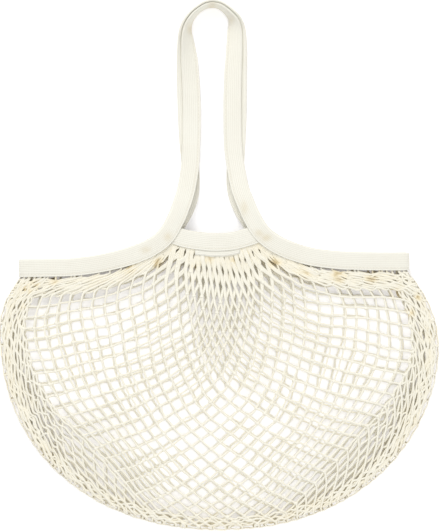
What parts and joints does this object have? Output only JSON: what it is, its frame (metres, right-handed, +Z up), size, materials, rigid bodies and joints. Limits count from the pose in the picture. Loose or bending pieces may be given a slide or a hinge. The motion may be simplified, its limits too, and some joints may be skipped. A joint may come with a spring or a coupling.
{
  "type": "net shopping bag",
  "caption": "Flat-lying cotton net shopping bag with bound mouth edges, a gathered middle and a long doubled shoulder handle.",
  "frame": {"origin": "middle of the bag's mouth, on the surface that it lies on, under the back middle tape", "axes": "+X across the bag, +Y from the bag's bottom to the handles' top, +Z up from the surface"},
  "size_m": [0.4395, 0.5301, 0.0191],
  "materials": {
    "net_cotton": "undyed knotted cotton yarn, matt",
    "tape_cotton": "undyed ribbed cotton tape, matt"
  },
  "bodies": {
    "root": {"net_bag": "net_cotton", "long_tape": "tape_cotton", "front_middle_tape": "tape_cotton", "back_middle_tape": "tape_cotton"}
  },
  "joints": []
}
